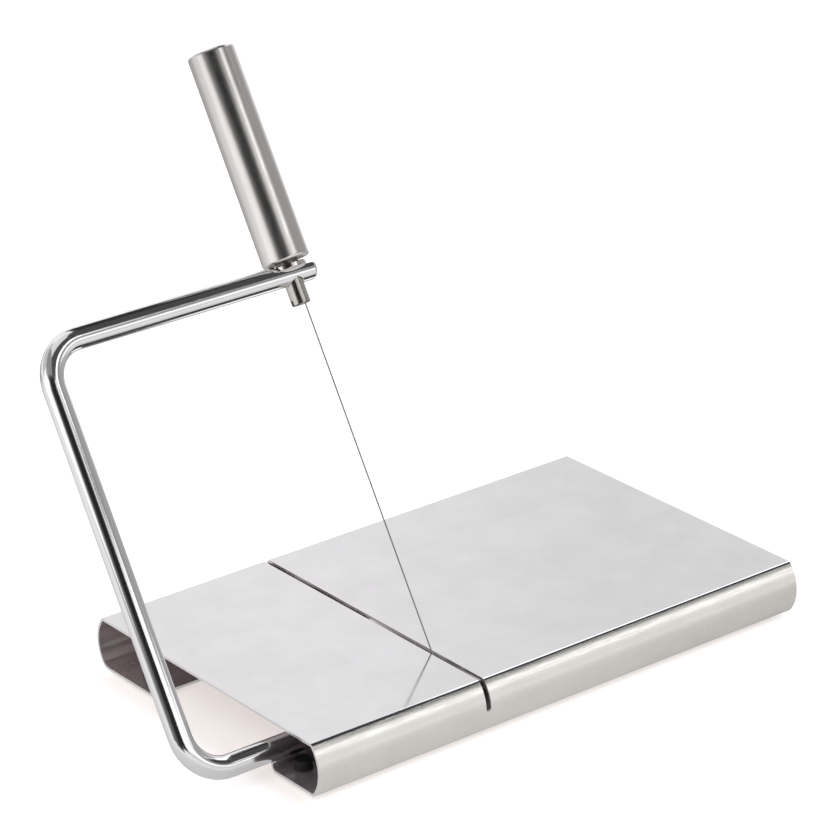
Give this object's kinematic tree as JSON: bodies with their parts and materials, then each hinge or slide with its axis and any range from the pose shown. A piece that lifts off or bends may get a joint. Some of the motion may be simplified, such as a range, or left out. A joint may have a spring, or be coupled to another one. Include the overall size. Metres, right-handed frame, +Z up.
{
  "type": "wire food slicer board",
  "caption": "Bent steel serving board with a rod arm that swings a taut cutting wire down through a slot; a round handle tensions the wire.",
  "frame": {"origin": "bottom centre of the box round the whole slicer with its arm raised, on the plane of the feet", "axes": "+X to the right along the board's long side and the pivot axis, +Y from the front edge to the back, +Z up"},
  "size_m": [0.2462, 0.1502, 0.2129],
  "materials": {
    "board_steel": "satin sheet, brushed along the rolls",
    "rod_steel": "mirror polish",
    "handle_steel": "fine turned satin",
    "washer_steel": "polished",
    "pin_nickel": "warm grey nickel, turned",
    "wire_steel": "drawn wire",
    "fastener_steel": "plain",
    "bearing_nylon": "moulded, matt",
    "foot_rubber": "matt"
  },
  "bodies": {
    "board": {"board": "board_steel", "foot_front_left": "foot_rubber", "foot_front_right": "foot_rubber", "foot_back_left": "foot_rubber", "foot_back_right": "foot_rubber", "bearing_outer": "bearing_nylon", "bearing_inner": "bearing_nylon", "bearing_screws": "fastener_steel"},
    "arm": {"arm_rod": "rod_steel", "thrust_washers": "bearing_nylon", "retaining_rings": "fastener_steel", "handle_washer": "washer_steel"},
    "handle": {"handle_tube": "handle_steel", "handle_insert": "handle_steel", "handle_end_plug": "handle_steel"},
    "tensioner": {"tension_pin": "pin_nickel", "cutting_wire": "wire_steel", "wire_bead": "pin_nickel", "wire_barrel": "pin_nickel"}
  },
  "joints": [
    {"name": "arm_pivot", "type": "hinge", "parent": "board", "child": "arm", "pos_m": [-0.0591, -0.05023, 0.0117], "axis": [1, 0, 0], "range_deg": [-59, 121]},
    {"name": "handle_turn", "type": "hinge", "parent": "arm", "child": "handle", "pos_m": [-0.018, 0.02651, 0.13942], "axis": [0, 0.515, 0.8572], "range_deg": [0, 1080]},
    {"name": "pin_slide", "type": "slide", "parent": "arm", "child": "tensioner", "axis": [0, 0.515, 0.8572], "range_m": [-0.003, 0]}
  ],
  "couplings": [
    {"joint": "pin_slide", "follows": "handle_turn", "m_per_rad": -0.00015915}
  ]
}
